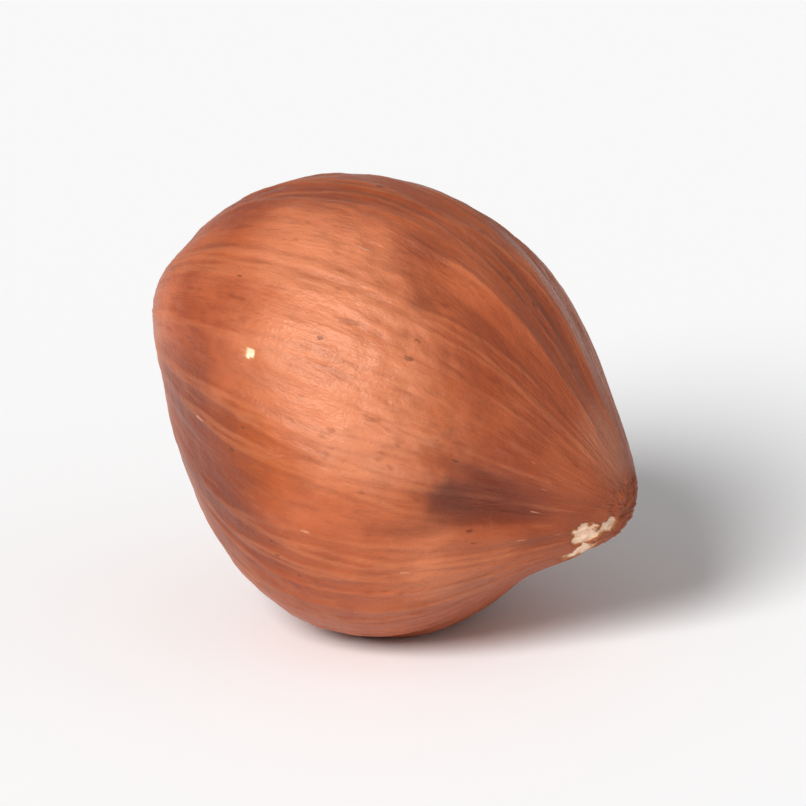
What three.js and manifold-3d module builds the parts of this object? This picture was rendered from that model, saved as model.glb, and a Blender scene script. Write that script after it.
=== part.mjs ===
// A shelled hazelnut kernel lying on its side, in its brown skin.
//
// The kernel is one solid. Its own axis runs from the round, leaning base to the
// small blunt beak at the tip. Every point of its skin is named by two angles:
//   polar   0 at the tip, 180 at the base
//   around  0 at the top, 90 at the left of someone who looks along the axis from
//           the base to the tip, 180 below and 270 at the right
// Lengths are in millimetres and angles in degrees. +Z is up, +X is towards the tip.

import * as THREE from 'three';
import { mergeVertices } from 'three/addons/utils/BufferGeometryUtils.js';
import Module from 'manifold-3d';

const wasm = await Module();
wasm.setup();

// ---------------------------------------------------------------- dimensions

const KERNEL_LENGTH = 15.2;    // base to the end of the beak
const HALF_HEIGHT = 6.65;      // half the girth's height, before the flat spot
const HALF_BREADTH = 6.5;      // half the girth's breadth

const BEAK_LENGTH = 1.1;       // how far the beak stands past the round body
const BEAK_SPREAD = 26;        // angle from the tip over which the beak dies out
const BEAK_BLUNTNESS = 2.3;    // 2 is a round hump, higher is blunter
const BEAK_LIFT = -0.25;       // the beak sits a little below the body's axis

const TIP_TAPER = 0.2;         // how much the shoulder narrows towards the tip
const TIP_TAPER_POWER = 5.3;   // higher keeps the shoulder full for longer
const BASE_TAPER = 0.22;
const BASE_TAPER_POWER = 6;
const BASE_LEAN = 2.1;         // the base's upper edge reaches back this far
const BASE_LIFT = 0.2;         // the base's middle sits above the body's axis
const BASE_HOLLOW = 0.22;      // depth of the dimple at the scar on the base
const BASE_HOLLOW_SPREAD = 18;

const TIP_DIP = 11.5;          // how far the axis dips towards the tip at rest
const FLAT_DEPTH = 0.33;       // how deep the resting spot is pressed in

const AROUND_STEPS = 72;
const ALONG_STEPS = 50;

// Long waves of the girth: waves around, height as a share of the radius, phase.
const GIRTH_WAVES = [
  { count: 3, height: 0.010, phase: 35 },
  { count: 5, height: 0.006, phase: -60 },
];

// Furrows and swells of the skin. Each is centred on one point and dies out
// along and across its meridian. A negative rise is a furrow.
const FOLDS = [
  { polar: 42, around: 276, along: 15, across: 15, rise: -0.42 },
  { polar: 48, around: 240, along: 26, across: 13, rise: 0.16 },
  { polar: 76, around: 346, along: 28, across: 6, rise: 0.10 },
  { polar: 35, around: 180, along: 18, across: 45, rise: -0.5 },
  { polar: 62, around: 24, along: 26, across: 7, rise: -0.16 },
  { polar: 88, around: 60, along: 42, across: 9, rise: -0.24 },
  { polar: 74, around: 104, along: 30, across: 10, rise: 0.12 },
  { polar: 60, around: 140, along: 24, across: 9, rise: -0.20 },
  { polar: 112, around: 318, along: 22, across: 12, rise: -0.10 },
];

const SKIN_COLOR = 0xb5694a;
const SKIN_ROUGHNESS = 0.55;

// --------------------------------------------------------------- the surface

const radians = THREE.MathUtils.degToRad;

// A smooth hump that is 1 in the middle and has nearly died out at 2 spreads.
function hump(distance, spread, bluntness = 2) {
  return Math.exp(-(Math.abs(distance / spread) ** bluntness));
}

// The shorter way round from one angle to another, from -180 to 180.
function turnBetween(from, to) {
  return ((to - from + 540) % 360) - 180;
}

// How far the skin stands out of, or sinks into, the plain body at a point.
function foldRise(polar, around) {
  return FOLDS.reduce((sum, fold) => {
    const alongShare = hump(polar - fold.polar, fold.along);
    const acrossShare = hump(turnBetween(fold.around, around), fold.across);
    return sum + fold.rise * alongShare * acrossShare;
  }, 0);
}

// The girth's long waves, as a factor on the radius.
function girthFactor(around) {
  return GIRTH_WAVES.reduce((factor, wave) => {
    return factor + wave.height * Math.cos(radians(wave.count * around + wave.phase));
  }, 1);
}

// The point of the kernel's skin at two angles, about the middle of its axis.
function skinPoint(polar, around) {
  const reach = Math.cos(radians(polar));
  const ring = Math.sin(radians(polar));
  const nearTip = (1 + reach) / 2;
  const nearBase = (1 - reach) / 2;

  const taper = TIP_TAPER * nearTip ** TIP_TAPER_POWER
    + BASE_TAPER * nearBase ** BASE_TAPER_POWER;
  const girth = ring * (1 - taper) * girthFactor(around);
  const rise = foldRise(polar, around);
  const up = Math.cos(radians(around));
  const left = Math.sin(radians(around));

  const height = up * (HALF_HEIGHT * girth + rise * ring);
  const breadth = left * (HALF_BREADTH * girth + rise * ring);
  const halfBody = (KERNEL_LENGTH - BEAK_LENGTH) / 2;
  const lean = BASE_LEAN * nearBase ** 2 * height / HALF_HEIGHT;
  const axial = (halfBody + rise) * reach - lean
    + BEAK_LENGTH * hump(polar, BEAK_SPREAD, BEAK_BLUNTNESS)
    + BASE_HOLLOW * hump(180 - polar, BASE_HOLLOW_SPREAD);

  const lift = BEAK_LIFT * nearTip ** 3 + BASE_LIFT * nearBase ** 2;
  return new THREE.Vector3(axial, breadth, height + lift);
}

// A closed skin: a unit sphere whose poles are the tip and the base, with each
// of its points moved to the kernel's.
function skinGeometry() {
  const geometry = new THREE.SphereGeometry(1, AROUND_STEPS, ALONG_STEPS);
  geometry.rotateZ(-Math.PI / 2);
  const position = geometry.attributes.position;
  const point = new THREE.Vector3();
  for (let i = 0; i < position.count; i += 1) {
    point.fromBufferAttribute(position, i);
    const polar = THREE.MathUtils.radToDeg(Math.acos(THREE.MathUtils.clamp(point.x, -1, 1)));
    const around = THREE.MathUtils.radToDeg(Math.atan2(point.y, point.z));
    const moved = skinPoint(polar, around);
    position.setXYZ(i, moved.x, moved.y, moved.z);
  }
  geometry.rotateY(radians(TIP_DIP));
  return geometry;
}

// ------------------------------------------------------ solids and resting spot

function toSolid(geometry) {
  const bare = geometry.clone();
  bare.deleteAttribute('normal');
  bare.deleteAttribute('uv');
  const merged = mergeVertices(bare, 1e-4);
  return new wasm.Manifold(new wasm.Mesh({
    numProp: 3,
    vertProperties: new Float32Array(merged.attributes.position.array),
    triVerts: new Uint32Array(merged.index.array),
  }));
}

function toGeometry(solid) {
  const mesh = solid.getMesh();
  const geometry = new THREE.BufferGeometry();
  geometry.setAttribute('position', new THREE.BufferAttribute(mesh.vertProperties, 3));
  geometry.setIndex(new THREE.BufferAttribute(mesh.triVerts, 1));
  geometry.computeVertexNormals();
  return geometry;
}

// Sets the kernel down so that its lowest skin is FLAT_DEPTH below the surface,
// then presses that much flat.
function pressFlat(geometry) {
  geometry.computeBoundingBox();
  geometry.translate(0, 0, -geometry.boundingBox.min.z - FLAT_DEPTH);
  const slab = new THREE.BoxGeometry(4 * HALF_HEIGHT, 4 * HALF_HEIGHT, HALF_HEIGHT);
  slab.translate(0, 0, -HALF_HEIGHT / 2);
  return toGeometry(toSolid(geometry).subtract(toSolid(slab)));
}

// Puts the origin below the middle of the kernel's box, on the surface.
function centreOnOrigin(geometry) {
  geometry.computeBoundingBox();
  const middle = geometry.boundingBox.getCenter(new THREE.Vector3());
  geometry.translate(-middle.x, -middle.y, 0);
  return geometry;
}

// --------------------------------------------------------------- the scene graph

function skinMaterial() {
  return new THREE.MeshStandardMaterial({
    color: SKIN_COLOR,
    roughness: SKIN_ROUGHNESS,
    metalness: 0,
  });
}

function makeKernel() {
  const kernel = new THREE.Mesh(centreOnOrigin(pressFlat(skinGeometry())), skinMaterial());
  kernel.name = 'kernel';
  return kernel;
}

const hazelnut = new THREE.Group();
hazelnut.add(makeKernel());

export default hazelnut;
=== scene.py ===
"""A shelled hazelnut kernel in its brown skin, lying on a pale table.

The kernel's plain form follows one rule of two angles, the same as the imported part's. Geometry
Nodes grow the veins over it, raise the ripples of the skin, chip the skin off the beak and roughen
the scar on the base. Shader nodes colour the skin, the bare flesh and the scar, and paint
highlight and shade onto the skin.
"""

import logging
import math
from dataclasses import dataclass, field, fields
from enum import Enum
from functools import reduce
from typing import ClassVar

import bpy
import numpy as np
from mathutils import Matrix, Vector


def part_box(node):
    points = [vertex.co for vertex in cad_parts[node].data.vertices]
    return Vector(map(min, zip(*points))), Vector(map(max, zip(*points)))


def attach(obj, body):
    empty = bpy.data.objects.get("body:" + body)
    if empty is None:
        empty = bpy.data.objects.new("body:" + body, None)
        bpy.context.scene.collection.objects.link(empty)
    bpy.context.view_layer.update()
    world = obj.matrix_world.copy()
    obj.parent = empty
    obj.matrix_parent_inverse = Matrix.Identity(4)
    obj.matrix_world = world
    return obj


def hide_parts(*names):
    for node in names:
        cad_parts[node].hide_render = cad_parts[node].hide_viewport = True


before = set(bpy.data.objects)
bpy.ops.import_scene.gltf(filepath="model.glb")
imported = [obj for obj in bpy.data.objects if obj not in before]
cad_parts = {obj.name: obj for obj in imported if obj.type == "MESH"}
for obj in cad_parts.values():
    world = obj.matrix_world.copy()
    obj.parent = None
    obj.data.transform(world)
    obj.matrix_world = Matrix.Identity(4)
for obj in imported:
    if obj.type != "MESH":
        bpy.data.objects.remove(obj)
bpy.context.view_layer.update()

KERNEL_NODE = "kernel"
MM = 0.001

# How fine the scar is, in its relief and in its colour.
CRUMB_SCALE = 9.0

log = logging.getLogger("hazelnut")

Socket = bpy.types.NodeSocket


# ---------------------------------------------------------------------------- node trees


class Reading:
    """A number socket that Python's operators work on by adding Math nodes."""

    def __init__(self, bench: "Bench", socket: Socket) -> None:
        """Keeps the socket and the bench that adds nodes beside it."""
        self.bench = bench
        self.socket = socket

    def __add__(self, other: "Operand") -> "Reading":
        """The sum of two readings."""
        return self.bench.maths("ADD", self, other)

    def __radd__(self, other: "Operand") -> "Reading":
        """The sum, with the number first."""
        return self.bench.maths("ADD", other, self)

    def __sub__(self, other: "Operand") -> "Reading":
        """The difference of two readings."""
        return self.bench.maths("SUBTRACT", self, other)

    def __rsub__(self, other: "Operand") -> "Reading":
        """The difference, with the number first."""
        return self.bench.maths("SUBTRACT", other, self)

    def __mul__(self, other: "Operand") -> "Reading":
        """The product of two readings."""
        return self.bench.maths("MULTIPLY", self, other)

    def __rmul__(self, other: "Operand") -> "Reading":
        """The product, with the number first."""
        return self.bench.maths("MULTIPLY", other, self)

    def __truediv__(self, other: "Operand") -> "Reading":
        """The quotient of two readings."""
        return self.bench.maths("DIVIDE", self, other)

    def __rtruediv__(self, other: "Operand") -> "Reading":
        """The quotient, with the number on top."""
        return self.bench.maths("DIVIDE", other, self)

    def __neg__(self) -> "Reading":
        """The reading with its sign turned."""
        return self.bench.maths("MULTIPLY", self, -1.0)


Operand = Reading | float


class Bench:
    """Adds nodes to one tree, a shader's or Geometry Nodes'."""

    def __init__(self, tree: bpy.types.NodeTree) -> None:
        """Keeps the tree that the nodes go into."""
        self.tree = tree

    def node(
        self,
        kind: str,
        settings: dict[str, object] | None = None,
        feeds: dict[str | int, object] | None = None,
    ) -> bpy.types.Node:
        """Adds one node, sets it up and feeds its sockets.

        Args:
            kind: The node's type, as Blender names it.
            settings: The node's own properties, set before its sockets are fed.
            feeds: A value, reading or socket for each input, by its name or number.

        Returns:
            The node.
        """
        made = self.tree.nodes.new(kind)
        for name, setting in (settings or {}).items():
            setattr(made, name, setting)
        for key, value in (feeds or {}).items():
            self.feed(made.inputs[key], value)
        return made

    def feed(self, socket: Socket, value: object) -> None:
        """Links a reading or a socket to an input, or sets the input's own value.

        Args:
            socket: The input.
            value: What it gets.
        """
        if isinstance(value, Reading):
            self.tree.links.new(value.socket, socket)
        elif isinstance(value, Socket):
            self.tree.links.new(value, socket)
        elif socket.type == "RGBA":
            socket.default_value = (*value, 1.0)
        else:
            socket.default_value = value

    def maths(self, operation: str, *operands: Operand) -> Reading:
        """Adds a Math node.

        Args:
            operation: The node's operation.
            operands: One to three numbers or readings.

        Returns:
            The node's result.
        """
        made = self.node("ShaderNodeMath", {"operation": operation}, dict(enumerate(operands)))
        return Reading(self, made.outputs[0])

    def vector_maths(self, operation: str, first: object, second: object) -> Socket:
        """Adds a Vector Math node.

        Args:
            operation: The node's operation.
            first: Its first vector.
            second: Its second vector, or the number that SCALE multiplies by.

        Returns:
            The vector that it gives.
        """
        feeds = {0: first, "Scale" if operation == "SCALE" else 1: second}
        return self.node("ShaderNodeVectorMath", {"operation": operation}, feeds).outputs[0]

    def distance(self, first: object, second: object) -> Reading:
        """How far apart two points are."""
        made = self.node("ShaderNodeVectorMath", {"operation": "DISTANCE"}, {0: first, 1: second})
        return Reading(self, made.outputs["Value"])

    def parts(self, vector: Socket) -> tuple[Reading, Reading, Reading]:
        """The three numbers of a vector."""
        made = self.node("ShaderNodeSeparateXYZ", feeds={0: vector})
        return tuple(Reading(self, output) for output in made.outputs)

    def joined(self, x: Operand, y: Operand, z: Operand) -> Socket:
        """A vector made of three numbers."""
        return self.node("ShaderNodeCombineXYZ", feeds={0: x, 1: y, 2: z}).outputs[0]

    def smooth(self, reading: Reading, low: float, high: float) -> Reading:
        """Rises smoothly from 0 at low to 1 at high, or falls if high is the lower.

        Args:
            reading: What is looked at.
            low: Where the result is 0.
            high: Where the result is 1.

        Returns:
            The smooth step.
        """
        if low > high:
            return 1.0 - self.smooth(reading, high, low)
        made = self.node(
            "ShaderNodeMapRange",
            {"interpolation_type": "SMOOTHSTEP"},
            {"Value": reading, "From Min": low, "From Max": high},
        )
        return Reading(self, made.outputs[0])

    def noise(
        self,
        vector: Socket,
        scale: float,
        detail: float = 3.0,
        roughness: float = 0.5,
        distortion: float = 0.0,
    ) -> Reading:
        """Adds a Noise Texture.

        Args:
            vector: Where the noise is read.
            scale: How fine it is.
            detail: How many octaves it has.
            roughness: How strong the finer octaves are.
            distortion: How much it is twisted.

        Returns:
            The noise, about 0 to 1 with a mean of 0.5.
        """
        feeds = {"Vector": vector, "Scale": scale, "Detail": detail}
        feeds |= {"Roughness": roughness, "Distortion": distortion}
        return Reading(self, self.node("ShaderNodeTexNoise", feeds=feeds).outputs[0])

    def cells(self, vector: Socket, scale: float) -> tuple[Reading, Reading]:
        """Adds a Voronoi Texture.

        Args:
            vector: Where the cells are read.
            scale: How small they are.

        Returns:
            The distance to the nearest cell's middle, and a random number for that cell.
        """
        made = self.node("ShaderNodeTexVoronoi", feeds={"Vector": vector, "Scale": scale})
        red = self.node("ShaderNodeSeparateColor", feeds={0: made.outputs["Color"]}).outputs[0]
        return Reading(self, made.outputs["Distance"]), Reading(self, red)

    def blend(self, mask: Operand, first: object, second: object) -> Socket:
        """Mixes two colours.

        Args:
            mask: 0 gives the first and 1 the second.
            first: A colour or a colour socket.
            second: A colour or a colour socket.

        Returns:
            The mixed colour.
        """
        made = self.node(
            "ShaderNodeMix",
            {"data_type": "RGBA", "clamp_factor": True},
            {0: mask, 6: first, 7: second},
        )
        return made.outputs[2]


# ------------------------------------------------------------------------- the plain form


def placed(name: str, data: bpy.types.ID) -> bpy.types.Object:
    """Puts a new object into the scene.

    Args:
        name: The object's name.
        data: Its mesh, camera or light.

    Returns:
        The object.
    """
    made = bpy.data.objects.new(name, data)
    bpy.context.scene.collection.objects.link(made)
    return made


@dataclass(frozen=True)
class Fold:
    """A furrow or swell of the skin, which dies out along and across its meridian.

    Angles are in degrees and the rise in millimetres. A negative rise is a furrow.
    """

    polar: float
    around: float
    along: float
    across: float
    rise: float


@dataclass(frozen=True)
class GirthWave:
    """A long wave of the girth: how many go round, their height and their phase."""

    count: int
    height: float
    phase: float


def hump(distance: np.ndarray, spread: float, bluntness: float = 2.0) -> np.ndarray:
    """A smooth hump, 1 in the middle.

    Args:
        distance: How far each point is from the middle.
        spread: Where the hump has fallen to about a third.
        bluntness: 2 is a round hump, and higher is blunter.

    Returns:
        The hump's height at each point.
    """
    return np.exp(-(np.abs(distance / spread) ** bluntness))


@dataclass
class KernelForm:
    """The kernel's plain form, before its veins: millimetres and degrees.

    A point of the skin is named by two angles. polar is 0 at the tip and 180 at the base, and
    around is 0 on top and 90 on the +Y side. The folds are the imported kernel's own, and the
    tucks are slighter ones that only the skin has.
    """

    length: float = 15.2
    half_height: float = 6.65
    half_breadth: float = 6.5
    beak_length: float = 1.1
    beak_spread: float = 26.0
    beak_bluntness: float = 2.3
    beak_lift: float = -0.25
    tip_taper: float = 0.2
    tip_taper_power: float = 5.3
    base_taper: float = 0.22
    base_taper_power: float = 6.0
    base_lean: float = 2.1
    base_lift: float = 0.2
    base_hollow: float = 0.22
    base_hollow_spread: float = 18.0
    tip_dip: float = 11.5
    flat_depth: float = 0.33
    around_steps: int = 480
    along_steps: int = 200
    pole_crowding: float = 0.5
    waves: tuple[GirthWave, ...] = (GirthWave(3, 0.010, 35.0), GirthWave(5, 0.006, -60.0))
    folds: tuple[Fold, ...] = (
        Fold(42, 276, 15, 15, -0.42),
        Fold(48, 240, 26, 13, 0.16),
        Fold(76, 346, 28, 6, 0.10),
        Fold(35, 180, 18, 45, -0.5),
        Fold(62, 24, 26, 7, -0.16),
        Fold(88, 60, 42, 9, -0.24),
        Fold(74, 104, 30, 10, 0.12),
        Fold(60, 140, 24, 9, -0.20),
        Fold(112, 318, 22, 12, -0.10),
    )
    tucks: tuple[Fold, ...] = (
        Fold(148, 310, 30, 34, 0.34),
        Fold(38, 258, 13, 5, 0.14),
        Fold(40, 268, 13, 4, -0.17),
        Fold(60, 262, 14, 4, -0.07),
        Fold(32, 292, 12, 6, 0.08),
        Fold(50, 288, 10, 4, -0.06),
        Fold(66, 334, 20, 3, -0.06),
        Fold(58, 345, 22, 3, 0.05),
        Fold(52, 2, 22, 4, -0.07),
        Fold(80, 85, 26, 4, -0.08),
        Fold(70, 120, 24, 4, -0.07),
        Fold(90, 150, 28, 4, -0.06),
        Fold(66, 205, 22, 4, -0.07),
        Fold(80, 343, 9, 5, -0.09),
        Fold(73, 330, 4, 8, -0.07),
        Fold(52, 275, 5, 8, -0.08),
        Fold(43, 283, 9, 3, 0.12),
    )

    def rise(self, folds: tuple[Fold, ...], polar: np.ndarray, around: np.ndarray) -> np.ndarray:
        """How far folds lift the skin.

        Args:
            folds: The folds.
            polar: Each point's polar angle.
            around: Each point's angle around.

        Returns:
            The rise at each point.
        """
        total = np.zeros_like(polar)
        for fold in folds:
            turn = (around - fold.around + 540.0) % 360.0 - 180.0
            across = hump(turn, fold.across)
            total += fold.rise * hump(polar - fold.polar, fold.along) * across
        return total

    def points(self, polar: np.ndarray, around: np.ndarray) -> np.ndarray:
        """Points of the skin, about the middle of the kernel's own axis.

        Args:
            polar: Each point's polar angle.
            around: Each point's angle around.

        Returns:
            One row of three coordinates for each point.
        """
        reach = np.cos(np.radians(polar))
        ring = np.sin(np.radians(polar))
        near_tip = (1 + reach) / 2
        near_base = (1 - reach) / 2
        taper = self.tip_taper * near_tip**self.tip_taper_power
        taper += self.base_taper * near_base**self.base_taper_power
        waves = [w.height * np.cos(np.radians(w.count * around + w.phase)) for w in self.waves]
        girth = ring * (1 - taper) * (1 + sum(waves))
        rise = self.rise(self.folds + self.tucks, polar, around)
        height = np.cos(np.radians(around)) * (self.half_height * girth + rise * ring)
        breadth = np.sin(np.radians(around)) * (self.half_breadth * girth + rise * ring)
        axial = ((self.length - self.beak_length) / 2 + rise) * reach
        axial -= self.base_lean * near_base**2 * height / self.half_height
        axial += self.beak_length * hump(polar, self.beak_spread, self.beak_bluntness)
        axial += self.base_hollow * hump(180 - polar, self.base_hollow_spread)
        height = height + self.beak_lift * near_tip**3 + self.base_lift * near_base**2
        dip = math.radians(self.tip_dip)
        along = axial * math.cos(dip) + height * math.sin(dip)
        upward = height * math.cos(dip) - axial * math.sin(dip)
        return np.stack([along, breadth, upward], axis=1)

    def at_rest(self, points: np.ndarray) -> np.ndarray:
        """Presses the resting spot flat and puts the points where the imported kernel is.

        Args:
            points: Points of the whole skin, in millimetres.

        Returns:
            The same points in metres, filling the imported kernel's box.
        """
        points[:, 2] -= points[:, 2].min() + self.flat_depth
        points[:, 2] = np.maximum(points[:, 2], 0.0)
        low, high = (np.array(corner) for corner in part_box(KERNEL_NODE))
        own_low, own_high = points.min(axis=0), points.max(axis=0)
        return low + (points - own_low) * (high - low) / (own_high - own_low)

    def angles(self) -> tuple[np.ndarray, np.ndarray]:
        """Works out the two angles of every vertex: the tip, each ring and then the base.

        Returns:
            The polar angles and the angles around.
        """
        share = np.linspace(0.0, 1.0, self.along_steps + 1)[1:-1]
        crowding = self.pole_crowding * np.sin(2 * np.pi * share) / (2 * np.pi)
        rings = 180.0 * (share - crowding)
        turns = np.arange(self.around_steps) * 360.0 / self.around_steps
        polar = np.concatenate([[0.0], np.repeat(rings, self.around_steps), [180.0]])
        around = np.concatenate([[0.0], np.tile(turns, len(rings)), [0.0]])
        return polar, around

    def faces(self) -> list[tuple[int, ...]]:
        """Lists the fans at the tip and base, and the quads between the rings.

        Returns:
            The vertices of each face, in an order that makes it face out.
        """
        count = self.around_steps
        last = 1 + count * (self.along_steps - 1)
        found: list[tuple[int, ...]] = []
        for step in range(count):
            after = (step + 1) % count
            found.append((0, 1 + after, 1 + step))
            found.append((last, last - count + step, last - count + after))
            for ring in range(self.along_steps - 2):
                start = 1 + ring * count
                below = start + count
                found.append((start + step, start + after, below + after, below + step))
        return found

    def build(self, name: str) -> bpy.types.Object:
        """Makes the plain kernel, with the attributes that its skin is grown from.

        Args:
            name: The object's name.

        Returns:
            A closed mesh object at the origin. Its direction attribute is each vertex's place
            on a unit sphere, grain runs with the meridians, fold is how deep the dent near the
            tip is, and tuck is how far the tucks lift it.
        """
        polar, around = self.angles()
        mesh = bpy.data.meshes.new(name)
        mesh.from_pydata(self.at_rest(self.points(polar, around)).tolist(), [], self.faces())
        ring, turn, slope = np.sin(np.radians(polar)), np.radians(around), np.radians(polar)
        up, left = np.cos(turn), np.sin(turn)
        direction = np.stack([np.cos(slope), ring * left, ring * up], axis=1)
        self._store(mesh, "direction", "FLOAT_VECTOR", direction)
        self._store(mesh, "grain", "FLOAT_VECTOR", np.stack([up, left, slope], axis=1))
        self._store(mesh, "fold", "FLOAT", self.rise(self.folds[:1], polar, around))
        self._store(mesh, "tuck", "FLOAT", self.rise(self.tucks, polar, around))
        return placed(name, mesh)

    @staticmethod
    def _store(mesh: bpy.types.Mesh, name: str, kind: str, values: np.ndarray) -> None:
        """Stores one value or vector for each vertex of a mesh.

        Args:
            mesh: The mesh.
            name: The attribute's name.
            kind: FLOAT or FLOAT_VECTOR.
            values: What each vertex gets.
        """
        attribute = mesh.attributes.new(name, kind, "POINT")
        key = "vector" if kind == "FLOAT_VECTOR" else "value"
        attribute.data.foreach_set(key, values.astype(np.float32).ravel())


# ------------------------------------------------------------- what grows on the plain form


@dataclass(frozen=True)
class Spot:
    """A round place on the skin: its two angles and its reach on the unit sphere."""

    polar: float
    around: float
    reach: float

    def centre(self) -> Vector:
        """Works out the middle of the spot.

        Returns:
            A point of the unit sphere.
        """
        slope, turn = math.radians(self.polar), math.radians(self.around)
        ring = math.sin(slope)
        return Vector((math.cos(slope), ring * math.sin(turn), ring * math.cos(turn)))


@dataclass(frozen=True)
class SkinRelief:
    """The sizes of the skin's relief, in millimetres and degrees.

    Every number is an input of the Geometry Nodes tree. Chips are the places where the skin has
    come off, except the last, a painted highlight: a tiny pale spot where a glint of light falls.
    Puckers are those where it is crinkled.
    """

    trunks: int = 24
    branches: int = 3
    points_per_vein: int = 48
    seed: int = 7
    vein_width: float = 0.13
    vein_height: float = 0.045
    wrinkle_height: float = 0.28
    ripple_height: float = 0.10
    leather_height: float = 0.17
    pucker_height: float = 0.20
    flesh_depth: float = 0.12
    scar_radius: float = 20.0
    scar_height: float = 0.13
    chips: tuple[Spot, ...] = (
        Spot(16.5, 252, 0.075),
        Spot(9.5, 250, 0.058),
        Spot(18, 218, 0.10),
        Spot(17, 186, 0.09),
        Spot(20, 160, 0.06),
        Spot(15, 60, 0.03),
        # Not a chip but a painted highlight: a tiny pale bare spot where a glint of light falls.
        Spot(107, 297, 0.036),
    )
    puckers: tuple[Spot, ...] = (
        Spot(68, 316, 0.34),
        Spot(62, 290, 0.24),
        Spot(90, 338, 0.26),
        Spot(84, 80, 0.40),
        Spot(110, 170, 0.45),
    )

    def inputs(self) -> dict[str, int | float]:
        """Lists the tree's inputs.

        Returns:
            Every number of the relief, by the name of its input.
        """
        sizes = {size.name: getattr(self, size.name) for size in fields(self)}
        return {
            name.replace("_", " ").title(): value
            for name, value in sizes.items()
            if isinstance(value, (int, float))
        }

    def grow(self, plain: bpy.types.Object, material: bpy.types.Material) -> None:
        """Grows the relief on a plain kernel, whose mesh then is the finished one.

        Args:
            plain: The plain kernel.
            material: What the kernel is made of.
        """
        bench = ReliefBench(self)
        bench.draw()
        modifier = plain.modifiers.new("relief", "NODES")
        modifier.node_group = bench.tree
        for name, value in {**self.inputs(), "Material": material}.items():
            modifier[bench.identifiers[name]] = value
        graph = bpy.context.evaluated_depsgraph_get()
        finished = bpy.data.meshes.new_from_object(plain.evaluated_get(graph))
        plain.modifiers.remove(modifier)
        plain.data = finished
        finished.name = plain.name
        finished.polygons.foreach_set("use_smooth", [True] * len(finished.polygons))


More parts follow.
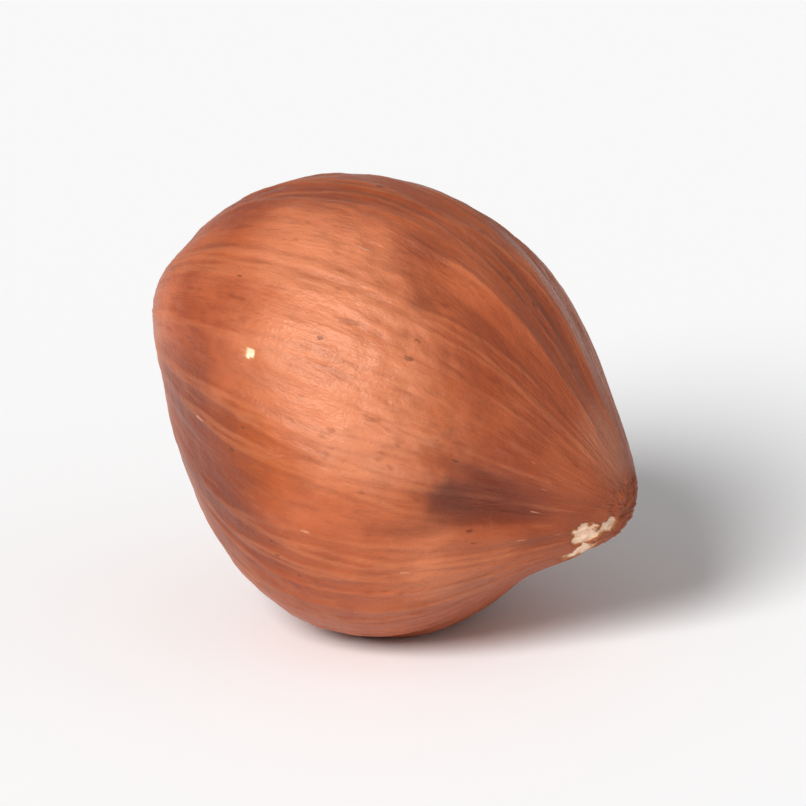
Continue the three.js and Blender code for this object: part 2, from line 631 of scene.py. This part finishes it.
class ReliefBench(Bench):
    """Draws a relief as a Geometry Nodes tree, in millimetres.

    Veins leave the scar on the base as trunks, split on their way and run to the tip. They are
    drawn on the unit sphere of the direction attribute, and the skin stands up near them.
    """

    VEIN_START: ClassVar[float] = 0.93
    VEIN_RUN: ClassVar[float] = 0.90
    BURIAL_DEPTH: ClassVar[float] = 0.09

    def __init__(self, relief: SkinRelief) -> None:
        """Starts the tree with its inputs and the attributes that it reads.

        Args:
            relief: The relief's sizes and spots.
        """
        super().__init__(bpy.data.node_groups.new("skin_relief", "GeometryNodeTree"))
        self.relief = relief
        kinds = {"Geometry": "NodeSocketGeometry", "Material": "NodeSocketMaterial"}
        for name, value in relief.inputs().items():
            kinds[name] = "NodeSocketInt" if isinstance(value, int) else "NodeSocketFloat"
        face = self.tree.interface
        self.identifiers = {
            name: face.new_socket(name=name, in_out="INPUT", socket_type=kind).identifier
            for name, kind in kinds.items()
        }
        face.new_socket(name="Geometry", in_out="OUTPUT", socket_type=kinds["Geometry"])
        self.start = self.node("NodeGroupInput").outputs
        self.direction = self._attribute("direction")
        self.grain = self._attribute("grain")
        self.up, self.left, self.polar = self.parts(self.grain)
        self.girth = self.maths("SINE", self.polar)

    def _attribute(self, name: str) -> Socket:
        """One of the plain kernel's vector attributes."""
        made = self.node(
            "GeometryNodeInputNamedAttribute", {"data_type": "FLOAT_VECTOR"}, {"Name": name}
        )
        return made.outputs["Attribute"]

    def _size(self, name: str) -> Reading:
        """One of the relief's numbers, from the tree's inputs."""
        return Reading(self, self.start[name])

    def draw(self) -> None:
        """Draws the whole tree, from the plain kernel to the finished one."""
        reach = self._vein_reach()
        vein = self.maths("EXPONENT", -(reach * reach))
        vein = vein * self.smooth(self.noise(self.direction, 5.0, 3.0), 0.28, 0.56)
        flesh = self._flesh_mask()
        scar = self._scar_mask()
        swell = self._swell()
        rise = self._rise(swell, vein, flesh, scar)
        shape = self.start["Geometry"]
        stored = {"vein": vein, "reach": reach, "flesh": flesh, "scar": scar, "swell": swell}
        for name, mask in stored.items():
            settings = {"data_type": "FLOAT", "domain": "POINT"}
            feeds = {"Geometry": shape, "Name": name, "Value": mask}
            shape = self.node("GeometryNodeStoreNamedAttribute", settings, feeds).outputs[0]
        shape = self._moved(shape, rise)
        shape = self.node("GeometryNodeRealizeInstances", feeds={0: shape}).outputs[0]
        feeds = {"Geometry": shape, "Material": self.start["Material"]}
        shape = self.node("GeometryNodeSetMaterial", feeds=feeds).outputs[0]
        self.node("NodeGroupOutput", feeds={0: shape})

    def _random(self, draw: float, label: Reading) -> Reading:
        """A random number from 0 to 1 for each value of a label.

        Args:
            draw: Tells one draw from another.
            label: What is drawn for.

        Returns:
            The number.
        """
        feeds = {"ID": label, "Seed": self._size("Seed") + draw}
        made = self.node("FunctionNodeRandomValue", {"data_type": "FLOAT"}, feeds)
        return Reading(self, next(o for o in made.outputs if o.enabled))

    def _vein_curves(self) -> Socket:
        """Draws every vein on the unit sphere. Its ends dive below, so that it dies away.

        Returns:
            The veins, as bare edges.
        """
        line = self.node("GeometryNodeCurvePrimitiveLine", feeds={"End": (1.0, 0.0, 0.0)})
        feeds = {"Curve": line.outputs[0], "Count": self.start["Points Per Vein"]}
        line = self.node("GeometryNodeResampleCurve", feeds=feeds)
        branches = self._size("Branches")
        trunks = self._size("Trunks")
        feeds = {"Geometry": line.outputs[0], "Amount": trunks * branches}
        copies = self.node("GeometryNodeDuplicateElements", {"domain": "SPLINE"}, feeds)
        label = Reading(self, copies.outputs["Duplicate Index"])
        trunk = self.maths("FLOOR", label / branches)
        branch = label - trunk * branches
        along = self.parts(self.node("GeometryNodeInputPosition").outputs[0])[0]

        pitch = (2 * math.pi) / trunks
        middle = (trunk + (self._random(0.0, trunk) - 0.5) * 0.8) * pitch
        split = 0.04 + 0.42 * self._random(1.0, label)
        opened = self.smooth((along - split) / 0.4, 0.0, 1.0)
        spread = (branch - (branches - 1.0) / 2.0) / branches
        wander = self.noise(self.joined(along * 3.0, label * 7.3, 0.0), 1.0, 2.0) - 0.5
        sway = wander * 0.8 * self.maths("SINE", along * math.pi)
        around = middle + (spread * opened + sway) * pitch
        polar = math.pi * (self.VEIN_START - self.VEIN_RUN * along)

        end = 0.72 + 0.38 * self._random(2.0, label)
        begin = 0.12 * self._random(3.0, label)
        buried = self.smooth(along - end, -0.22, 0.02) + self.smooth(along - begin, 0.1, 0.0)
        ring = self.maths("SINE", polar)
        place = self.joined(
            self.maths("COSINE", polar),
            ring * self.maths("SINE", around),
            ring * self.maths("COSINE", around),
        )
        place = self.vector_maths("SCALE", place, 1.0 - buried * self.BURIAL_DEPTH)
        feeds = {"Geometry": copies.outputs[0], "Position": place}
        moved = self.node("GeometryNodeSetPosition", feeds=feeds)
        return self.node("GeometryNodeCurveToMesh", feeds={0: moved.outputs[0]}).outputs[0]

    def _vein_reach(self) -> Reading:
        """How far the nearest vein is, in the vein's own widths.

        Returns:
            The distance, 0 on the vein's crest.
        """
        feeds = {0: self._vein_curves(), "Sample Position": self.direction}
        near = self.node("GeometryNodeProximity", {"target_element": "EDGES"}, feeds)
        distance = Reading(self, near.outputs["Distance"]) * KernelForm.half_height
        towards_tip = self.parts(self.direction)[0]
        return distance / (self._size("Vein Width") * (1.0 - 0.35 * towards_tip))

    def _away(self, spots: tuple[Spot, ...]) -> Reading:
        """How far the nearest spot's middle is.

        Args:
            spots: The spots.

        Returns:
            The distance, as a share of that spot's reach.
        """
        shares = [self.distance(self.direction, spot.centre()) / spot.reach for spot in spots]
        return reduce(lambda near, share: self.maths("MINIMUM", near, share), shares)

    def _flesh_mask(self) -> Reading:
        """Finds where the skin is chipped off and the pale flesh shows, and the tiny pale spot of
        a painted highlight.

        Returns:
            The mask, 1 on the bare flesh.
        """
        ragged = (self.noise(self.direction, 15.0, 5.0, 0.7) - 0.5) * 2.4
        return self.smooth(self._away(self.relief.chips) + ragged, 1.05, 0.65)

    def _scar_mask(self) -> Reading:
        """Finds the corky scar on the base, which has a ragged edge.

        Returns:
            The mask, 1 on the scar.
        """
        ragged = self.noise(self.direction, 4.5, 6.0, 0.65) - 0.5
        spikes = self.noise(self.joined(self.up * 7.0, self.left * 7.0, 0.0), 1.0, 3.0) - 0.5
        radius = self._size("Scar Radius") * math.radians(1.0)
        inside = radius * (1.0 + ragged * 1.8 + spikes * 0.5) - (math.pi - self.polar)
        return self.smooth(inside, -0.07, 0.05)

    def _swell(self) -> Reading:
        """How far the skin swells between its veins.

        Returns:
            The swell, above or below 0.
        """
        long = self.vector_maths("MULTIPLY", self.grain, (2.6, 2.6, 0.75))
        wrinkle = self.noise(long, 1.0, 2.0, 0.5, 0.3) - 0.5
        short = self.vector_maths("MULTIPLY", self.grain, (8.0, 8.0, 1.5))
        ripple = self.noise(short, 1.0, 3.0, 0.55, 0.4) - 0.5
        rough = 0.35 + self.smooth(self.noise(self.direction, 1.8, 2.0), 0.42, 0.62)
        leather = (self.noise(self.direction, 8.0, 4.0, 0.7) - 0.5) * rough
        ragged = (self.noise(self.direction, 4.0, 3.0) - 0.5) * 1.2
        puckered = self.smooth(self._away(self.relief.puckers) + ragged, 1.1, 0.5)
        pucker = (self.noise(self.direction, 16.0, 3.0, 0.6, 0.5) - 0.5) * puckered
        total = self._size("Wrinkle Height") * wrinkle + self._size("Ripple Height") * ripple
        total = total + self._size("Leather Height") * leather
        total = total + self._size("Pucker Height") * pucker
        return total * self.girth

    def _rise(self, swell: Reading, vein: Reading, flesh: Reading, scar: Reading) -> Reading:
        """How far the surface stands out of the plain form.

        Args:
            swell: The skin's swell between its veins.
            vein: 1 on a vein.
            flesh: 1 on the bare flesh.
            scar: 1 on the scar.

        Returns:
            The rise.
        """
        crumb = self.noise(self.direction, CRUMB_SCALE, 5.0, 0.65) - 0.5
        chip = self.noise(self.direction, 20.0, 4.0, 0.6) - 0.5
        end = self.smooth(self.polar, math.radians(15.0), math.radians(8.0))
        skin = swell + self._size("Vein Height") * vein * self.girth + chip * end * 0.36
        bare = (chip * 2.2 - 0.8) * self._size("Flesh Depth")
        cork = (0.35 + crumb * 2.2) * self._size("Scar Height")
        return skin * (1.0 - flesh) * (1.0 - scar * 0.7) + bare * flesh + cork * scar

    def _moved(self, shape: Socket, rise: Reading) -> Socket:
        """Lifts the skin along its normal, and keeps the resting spot on the surface.

        Args:
            shape: The geometry.
            rise: How far each vertex is lifted.

        Returns:
            The geometry in its final shape.
        """
        normal = self.node("GeometryNodeInputNormal").outputs[0]
        offset = self.vector_maths("SCALE", normal, rise * MM)
        lifted = self.node("GeometryNodeSetPosition", feeds={0: shape, "Offset": offset})
        x, y, z = self.parts(self.node("GeometryNodeInputPosition").outputs[0])
        held = self.joined(x, y, self.maths("MAXIMUM", z, 0.0))
        feeds = {0: lifted.outputs[0], "Position": held}
        return self.node("GeometryNodeSetPosition", feeds=feeds).outputs[0]


# --------------------------------------------------------------------------- the finish


class Tone(Enum):
    """The kernel's colours, in linear light. Some also paint highlight and shade onto the skin."""

    PEACH = (0.61, 0.205, 0.097)
    COPPER = (0.46, 0.110, 0.038)
    CHESTNUT = (0.29, 0.054, 0.017)
    RUSSET = (0.16, 0.028, 0.011)
    AMBER = (0.37, 0.068, 0.008)
    PLUM = (0.105, 0.017, 0.010)
    VEIN_TAN = (0.60, 0.21, 0.09)
    # Pale dust for the specks, and also a painted highlight on the crests of the swell.
    DUST = (0.62, 0.29, 0.18)
    SPECK = (0.06, 0.012, 0.006)
    FLESH = (0.96, 0.68, 0.49)
    FLESH_SHADE = (0.74, 0.43, 0.26)
    FLESH_EDGE = (0.46, 0.17, 0.06)
    CORK = (0.47, 0.175, 0.082)
    CORK_PALE = (0.74, 0.42, 0.27)
    CORK_DARK = (0.21, 0.052, 0.022)


@dataclass(frozen=True)
class Patch(Spot):
    """A spot where the skin is lighter or darker: some are the skin's own tone, and some are
    painted highlight and painted shade. Its strength is 0 to 1.
    """

    tone: Tone
    strength: float


@dataclass(frozen=True)
class SkinFinish:
    """Dry hazelnut skin, with the flesh and the scar that show through it.

    Scatter and fibre depths are in millimetres.
    """

    roughness: float = 0.41
    sheen: float = 0.02
    scatter: float = 0.10
    scatter_depth: float = 0.6
    fibre_depth: float = 0.09
    patches: tuple[Patch, ...] = (
        # Painted highlight: the first three peach patches light the broad place that faces the key
        # light, and the fourth paints light onto the lower side near the tip.
        Patch(84, 303, 0.66, Tone.PEACH, 0.85),
        Patch(97, 330, 0.46, Tone.PEACH, 0.75),
        Patch(77, 285, 0.32, Tone.PEACH, 0.60),
        Patch(50, 248, 0.36, Tone.PEACH, 0.50),
        # Painted shade: the next three chestnut patches darken the shoulder and the side that turn
        # away from the light.
        Patch(56, 324, 0.35, Tone.CHESTNUT, 0.70),
        Patch(40, 345, 0.50, Tone.CHESTNUT, 0.70),
        Patch(95, 355, 0.40, Tone.CHESTNUT, 0.45),
        # The next patch is painted shade in a furrow line.
        Patch(80, 343, 0.16, Tone.RUSSET, 0.25),
        Patch(25, 264, 0.24, Tone.RUSSET, 0.50),
        # The next patch is painted shade in the hollow of the dent.
        Patch(52, 275, 0.13, Tone.PLUM, 0.55),
        Patch(24, 308, 0.22, Tone.COPPER, 0.60),
        # The next patch is painted shade on the lower left.
        Patch(101, 255, 0.30, Tone.CHESTNUT, 0.60),
        Patch(102, 272, 0.34, Tone.AMBER, 0.90),
        # The next two patches are painted shade on the lower left.
        Patch(120, 262, 0.55, Tone.RUSSET, 0.80),
        Patch(108, 244, 0.40, Tone.PLUM, 0.45),
        # The next patch is painted shade beside the dent.
        Patch(45, 256, 0.18, Tone.CHESTNUT, 0.50),
        Patch(6, 270, 0.20, Tone.COPPER, 0.60),
        # The next patch is a painted shadow along the left edge, and the one after it is painted
        # shade on the lower side.
        Patch(128, 280, 0.34, Tone.RUSSET, 0.55),
        Patch(82, 240, 0.46, Tone.CHESTNUT, 0.45),
        Patch(20, 350, 0.26, Tone.DUST, 0.40),
        Patch(88, 25, 0.50, Tone.CHESTNUT, 0.45),
        Patch(85, 110, 0.60, Tone.AMBER, 0.35),
        Patch(130, 50, 0.55, Tone.PEACH, 0.45),
        Patch(75, 150, 0.50, Tone.PEACH, 0.35),
    )

    def material(self, name: str) -> bpy.types.Material:
        """Builds the material.

        Args:
            name: The material's name.

        Returns:
            The material.
        """
        made = bpy.data.materials.new(name)
        made.use_nodes = True
        made.node_tree.nodes.clear()
        bench = SkinBench(made.node_tree)
        shader = bench.node(
            "ShaderNodeBsdfPrincipled",
            feeds={
                "Base Color": bench.colour(self.patches),
                "Roughness": bench.gloss(self.roughness),
                "Normal": bench.fibres(self.fibre_depth),
                "Subsurface Weight": self.scatter,
                "Subsurface Radius": (1.0, 0.35, 0.15),
                "Subsurface Scale": self.scatter_depth * MM,
                "Sheen Weight": self.sheen,
                "Sheen Roughness": 0.45,
                "Sheen Tint": (1.0, 0.86, 0.80),
                "Specular IOR Level": 0.42,
                "Specular Tint": (1.0, 0.80, 0.66),
            },
        )
        bench.node("ShaderNodeOutputMaterial", feeds={"Surface": shader.outputs[0]})
        return made


class SkinBench(Bench):
    """Draws the skin's colour, gloss and fibres from the attributes of the finished mesh."""

    MASKS: ClassVar[tuple[str, ...]] = ("vein", "reach", "fold", "tuck", "flesh", "scar", "swell")

    def __init__(self, tree: bpy.types.NodeTree) -> None:
        """Reads the mesh's attributes and draws the streaks that several masks share.

        Args:
            tree: The material's tree.
        """
        super().__init__(tree)
        self.grain = self._attribute("grain", "Vector")
        self.direction = self._attribute("direction", "Vector")
        self.masks = {name: Reading(self, self._attribute(name, "Fac")) for name in self.MASKS}
        self.mottle = self._streaks(6.0, 3.0, 5.0)
        self.fine = self._streaks(26.0, 5.0, 4.0)

    def _attribute(self, name: str, output: str) -> Socket:
        """One of the mesh's attributes, as the output that is named."""
        return self.node("ShaderNodeAttribute", {"attribute_name": name}).outputs[output]

    def _streaks(self, around: float, along: float, detail: float) -> Reading:
        """Noise drawn out along the meridians.

        Args:
            around: How fine the streaks are across.
            along: How fine they are lengthwise.
            detail: How many octaves they have.

        Returns:
            The streaks, about 0 to 1.
        """
        stretched = self.vector_maths("MULTIPLY", self.grain, (around, around, along))
        return self.noise(stretched, 1.0, detail, 0.6)

    def _laid(self, colour: Socket, mask: Reading, tone: Tone) -> Socket:
        """A colour with a tone laid over it as far as a mask says."""
        return self.blend(mask, colour, tone.value)

    def colour(self, patches: tuple[Patch, ...]) -> Socket:
        """Draws the colour of the whole kernel.

        Args:
            patches: The lighter and darker places, some of them painted highlight and painted
                shade.

        Returns:
            The colour.
        """
        clouds = self.smooth(self.noise(self.direction, 1.6, 4.0, 0.6), 0.38, 0.68)
        colour = self.blend(clouds, Tone.COPPER.value, Tone.CHESTNUT.value)
        elsewhere = self.vector_maths("ADD", self.direction, (4.0, 1.0, 2.0))
        warm = self.smooth(self.noise(elsewhere, 2.2, 3.0), 0.50, 0.72)
        colour = self._laid(colour, warm * 0.7, Tone.AMBER)
        colour = self._patched(colour, patches)
        colour = self._streaked(colour)
        colour = self._veined(colour)
        colour = self._sunk(colour)
        return self._bare_places(colour)

    def _patched(self, colour: Socket, patches: tuple[Patch, ...]) -> Socket:
        """Lays every patch over a colour, each with a ragged soft edge. Some are painted highlight
        and painted shade.

        Args:
            colour: The colour below.
            patches: The patches.

        Returns:
            The patched colour.
        """
        ragged = (self.noise(self.direction, 5.0, 4.0, 0.6) - 0.5) * 0.7
        for patch in patches:
            away = self.distance(self.direction, patch.centre()) / patch.reach
            mask = self.smooth(away + ragged, 1.0, 0.25) * patch.strength
            colour = self._laid(colour, mask, patch.tone)
        return colour

    def _streaked(self, colour: Socket) -> Socket:
        """Draws the streaks, freckles and threads of the skin, paints shade into the swell's
        hollows and paints a highlight on its crests.

        Args:
            colour: The colour below.

        Returns:
            The streaked colour.
        """
        colour = self._laid(colour, self.smooth(self.mottle, 0.46, 0.76) * 0.32, Tone.RUSSET)
        colour = self._laid(colour, self.smooth(self.fine, 0.50, 0.78) * 0.26, Tone.RUSSET)
        colour = self._laid(colour, self.smooth(self.fine, 0.46, 0.26) * 0.15, Tone.VEIN_TAN)
        crowd = self.smooth(self.noise(self.direction, 2.6, 2.0), 0.42, 0.62)
        freckled = self.smooth(self._streaks(15.0, 8.0, 2.0), 0.60, 0.70) * crowd
        colour = self._laid(colour, freckled * 0.4, Tone.RUSSET)
        thread = self.smooth(self._streaks(60.0, 12.0, 3.0), 0.52, 0.74)
        colour = self._laid(colour, thread * 0.22, Tone.RUSSET)
        # Painted shade in the hollows of the swell, and a painted highlight on its crests.
        low = self.smooth(self.masks["swell"], 0.0, -0.08)
        high = self.smooth(self.masks["swell"], 0.01, 0.09)
        colour = self._laid(colour, low * 0.30, Tone.RUSSET)
        return self._laid(colour, high * 0.16, Tone.DUST)

    def _veined(self, colour: Socket) -> Socket:
        """Draws the veins: pale crests with a dark line on either side.

        Args:
            colour: The colour below.

        Returns:
            The colour with veins.
        """
        frayed = self.masks["reach"] + (self._streaks(30.0, 8.0, 3.0) - 0.5) * 1.6
        crest = self.smooth(frayed, 0.9, 0.1)
        flank = self.smooth(frayed, 2.4, 1.5) * self.smooth(frayed, 0.7, 1.3)
        seen = self.smooth(self._streaks(3.0, 1.5, 3.0), 0.30, 0.56)
        colour = self._laid(colour, flank * seen * 0.14, Tone.RUSSET)
        return self._laid(colour, crest * seen * 0.22, Tone.VEIN_TAN)

    def _sunk(self, colour: Socket) -> Socket:
        """Darkens the tip, paints shade into the tucks and the dent, and scatters specks and
        scuffs.

        Args:
            colour: The colour below.

        Returns:
            The darkened colour.
        """
        polar = self.parts(self.grain)[2]
        tip = self.smooth(polar, math.radians(52.0), math.radians(12.0))
        # Painted shade: the tucks' furrows and the dent's hollow are darkened as far as they sink.
        tuck_shade = self.smooth(-self.masks["tuck"], 0.01, 0.08)
        furrow = self.smooth((self.mottle - 0.5) * 0.25 - self.masks["fold"], 0.08, 0.34)
        colour = self._laid(colour, tip * 0.2, Tone.CHESTNUT)
        colour = self._laid(colour, tuck_shade * 0.45, Tone.RUSSET)
        colour = self._laid(colour, furrow * 0.66, Tone.PLUM)
        colour = self._laid(colour, self._specks((15.0, 15.0, 9.0), 0.86) * 0.55, Tone.SPECK)
        return self._laid(colour, self._specks((22.0, 22.0, 7.0), 0.92) * 0.55, Tone.DUST)

    def _specks(self, fineness: tuple[float, float, float], empty: float) -> Reading:
        """Scatters small ragged specks.

        Args:
            fineness: How fine they are around, around again and along.
            empty: The share of places that stay empty.

        Returns:
            The mask, 1 in a speck.
        """
        place = self.vector_maths("MULTIPLY", self.grain, fineness)
        reach, chosen = self.cells(place, 1.0)
        ragged = (self.noise(place, 5.0, 3.0, 0.6) - 0.5) * 0.35
        size = 0.12 * (chosen - empty) / (1.0 - empty)
        speck = self.smooth(reach + ragged - size, 0.09, 0.02)
        return speck * self.smooth(chosen, empty, empty + 0.02)

    def _bare_places(self, skin: Socket) -> Socket:
        """Puts the flesh's and the scar's colours over the skin's.

        Args:
            skin: The skin's colour.

        Returns:
            The colour of the whole kernel.
        """
        scar = self.masks["scar"]
        crumbs = self.noise(self.direction, CRUMB_SCALE, 5.0, 0.65)
        # The cork follows its crumb relief, darker where the crumbs sink and paler where they
        # stand: partly the cork's own colour, partly painted shade and highlight.
        lit = self.smooth(crumbs, 0.38, 0.52)
        cork = self.blend(lit, Tone.CORK_DARK.value, Tone.CORK.value)
        cork = self._laid(cork, self.smooth(crumbs, 0.53, 0.64), Tone.CORK_PALE)
        colour = self._laid(skin, self.smooth(scar, 0.0, 0.45) * 0.6, Tone.CORK_DARK)
        colour = self.blend(self.smooth(scar, 0.35, 0.9), colour, cork)
        flesh = self.masks["flesh"]
        colour = self._laid(colour, self.smooth(flesh, 0.05, 0.45), Tone.FLESH_EDGE)
        grubby = self.smooth(self.noise(self.direction, 30.0, 3.0), 0.40, 0.70)
        meat = self.blend(grubby * 0.55, Tone.FLESH.value, Tone.FLESH_SHADE.value)
        return self.blend(self.smooth(flesh, 0.45, 0.9), colour, meat)

    def gloss(self, roughness: float) -> Reading:
        """Draws how rough the surface is from place to place.

        Args:
            roughness: The skin's mean roughness.

        Returns:
            The roughness.
        """
        uneven = self._streaks(6.0, 1.5, 3.0) - 0.5
        worn = roughness + uneven * 0.35 + self.masks["vein"] * 0.05
        return worn + self.masks["flesh"] * 0.15 + self.masks["scar"] * 0.35

    def fibres(self, depth: float) -> Socket:
        """Draws the finest relief: fibres along the meridians and a little grit.

        Args:
            depth: How deep it is, in millimetres.

        Returns:
            The bent normal.
        """
        pucker = self._streaks(13.0, 10.0, 3.0)
        grit = self.noise(self.direction, 60.0, 3.0, 0.6)
        height = self.fine * 0.6 + pucker * 0.55 + grit * (0.25 + self.masks["scar"])
        feeds = {"Strength": 0.9, "Distance": depth * MM, "Height": height}
        return self.node("ShaderNodeBump", feeds=feeds).outputs[0]


# --------------------------------------------------------------------------- the studio


def bearing(azimuth: float, elevation: float) -> Vector:
    """The unit vector from the kernel towards a place round it.

    Args:
        azimuth: 0 is towards -Y and 90 towards +X, in degrees.
        elevation: Above the horizon, in degrees.

    Returns:
        The vector.
    """
    turn, rise = math.radians(azimuth), math.radians(elevation)
    level = math.cos(rise)
    return Vector((math.sin(turn) * level, -math.cos(turn) * level, math.sin(rise)))


@dataclass(frozen=True)
class Lamp:
    """A soft distant lamp: its turn round from the camera, and how wide it looks."""

    name: str
    turn: float
    elevation: float
    strength: float
    size: float


@dataclass
class Studio:
    """A pale table, soft light and the camera. Lengths are in millimetres."""

    azimuth: float = 25.0
    elevation: float = 20.0
    lens: float = 800.0
    frame_width: float = 23.5
    table_half: float = 3000.0
    table_shade: float = 0.94
    table_roughness: float = 0.7
    sky_strength: float = 0.34
    lamps: tuple[Lamp, ...] = (
        Lamp("key", turn=-36.0, elevation=37.0, strength=3.5, size=28.0),
        Lamp("fill", turn=75.0, elevation=35.0, strength=0.15, size=60.0),
    )

    def camera(self) -> None:
        """Makes the scene's camera, far off with a long lens."""
        low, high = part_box(KERNEL_NODE)
        middle = (low + high) / 2
        lens = bpy.data.cameras.new("camera")
        lens.lens = self.lens
        made = placed("camera", lens)
        back = bearing(self.azimuth, self.elevation)
        made.location = middle + back * self.frame_width * MM * self.lens / lens.sensor_width
        made.rotation_euler = (-back).to_track_quat("-Z", "Y").to_euler()
        bpy.context.scene.camera = made

    def table(self) -> None:
        """Makes the pale table top."""
        half = self.table_half * MM
        mesh = bpy.data.meshes.new("table")
        corners = [(-half, -half, 0), (half, -half, 0), (half, half, 0), (-half, half, 0)]
        mesh.from_pydata(corners, [], [(0, 1, 2, 3)])
        finish = bpy.data.materials.new("table_white")
        finish.use_nodes = True
        shader = finish.node_tree.nodes["Principled BSDF"]
        shader.inputs["Base Color"].default_value = (*[self.table_shade] * 3, 1.0)
        shader.inputs["Roughness"].default_value = self.table_roughness
        mesh.materials.append(finish)
        placed("table", mesh)

    def light(self, lamp: Lamp) -> None:
        """Lights a lamp.

        Args:
            lamp: The lamp.
        """
        sun = bpy.data.lights.new(lamp.name, "SUN")
        sun.energy = lamp.strength
        sun.angle = math.radians(lamp.size)
        towards = bearing(self.azimuth + lamp.turn, lamp.elevation)
        made = placed(lamp.name, sun)
        made.rotation_euler = (-towards).to_track_quat("-Z", "Y").to_euler()

    def sky(self) -> None:
        """Fills the room with even white light."""
        world = bpy.data.worlds.new("room")
        world.use_nodes = True
        background = world.node_tree.nodes["Background"]
        background.inputs["Color"].default_value = (1.0, 1.0, 1.0, 1.0)
        background.inputs["Strength"].default_value = self.sky_strength
        bpy.context.scene.world = world

    def set_up(self) -> None:
        """Makes the camera, the table and the lights."""
        self.camera()
        self.table()
        for lamp in self.lamps:
            self.light(lamp)
        self.sky()
        bpy.context.scene.view_settings.view_transform = "Standard"


# ------------------------------------------------------------------------------ the kernel


@dataclass
class Kernel:
    """The whole kernel: its plain form, the relief on it and its finish."""

    form: KernelForm = field(default_factory=KernelForm)
    relief: SkinRelief = field(default_factory=SkinRelief)
    finish: SkinFinish = field(default_factory=SkinFinish)

    def build(self) -> bpy.types.Object:
        """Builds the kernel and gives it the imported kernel's place.

        Returns:
            The finished kernel.
        """
        piece = self.form.build("kernel_skin")
        self.relief.grow(piece, self.finish.material("hazelnut_skin"))
        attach(piece, "root")
        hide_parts(KERNEL_NODE)
        return piece


def main() -> None:
    """Builds the kernel and the studio, and reports each piece."""
    logging.basicConfig(level=logging.INFO, format="%(name)s: %(message)s")
    piece = Kernel().build()
    counts = len(piece.data.vertices), len(piece.data.polygons)
    log.info("%s: %d vertices, %d faces", piece.name, *counts)
    Studio().set_up()


if __name__ == "__main__":
    main()
